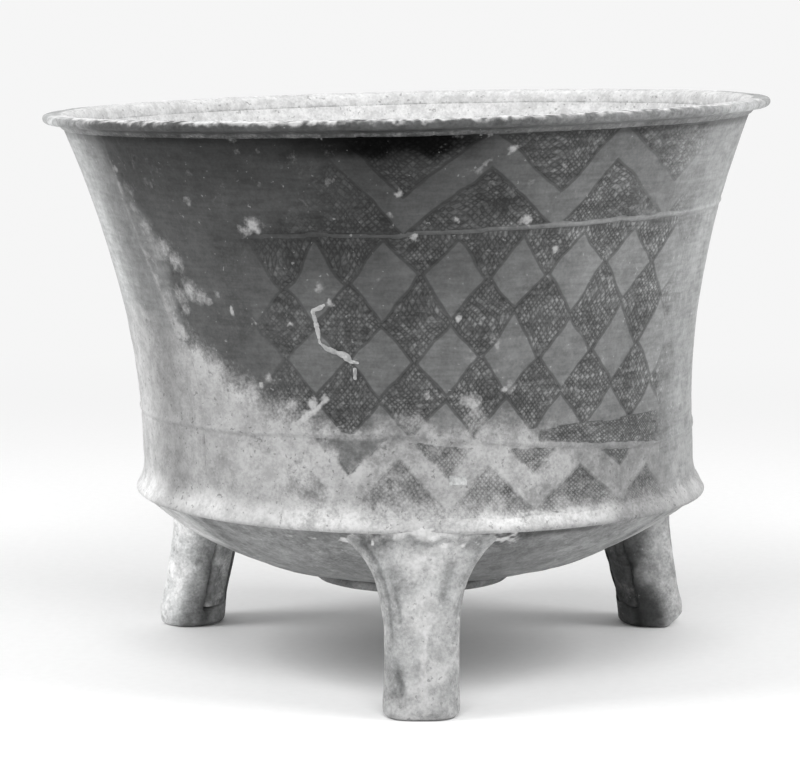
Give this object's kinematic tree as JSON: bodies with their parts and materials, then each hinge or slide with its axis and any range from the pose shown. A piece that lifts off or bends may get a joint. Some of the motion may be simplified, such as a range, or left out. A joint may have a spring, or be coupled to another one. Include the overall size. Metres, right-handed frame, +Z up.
{
  "type": "tripod bowl",
  "caption": "Cast metal tripod bowl with a flared wall, an everted lip, engraved zigzag and lozenge bands, a ridge above the domed floor and short flared legs.",
  "frame": {"origin": "on the ground, under the middle of the lip", "axes": "+Z up; the front leg points to -Y; +X is to the right as the front leg is faced"},
  "size_m": [0.21, 0.21, 0.1641],
  "materials": {
    "wall_bronze": "dark weathered bronze with engraved bands and pale mineral crust",
    "disc_bronze": "weathered bronze, matt",
    "leg_bronze": "pale weathered bronze, matt, pitted",
    "spacer_bronze": "paler bronze, matt",
    "core_clay": "baked clay, rough",
    "crack_fill": "pale mineral fill, chalky"
  },
  "bodies": {
    "root": {"bowl_body": "wall_bronze", "base_disc": "disc_bronze", "crack_fill": "crack_fill", "wall_chaplet_1": "spacer_bronze", "wall_chaplet_2": "spacer_bronze", "wall_chaplet_3": "spacer_bronze", "front_leg": "leg_bronze", "rear_right_leg": "leg_bronze", "rear_left_leg": "leg_bronze", "front_leg_core": "core_clay", "rear_right_leg_core": "core_clay", "rear_left_leg_core": "core_clay"}
  },
  "joints": []
}
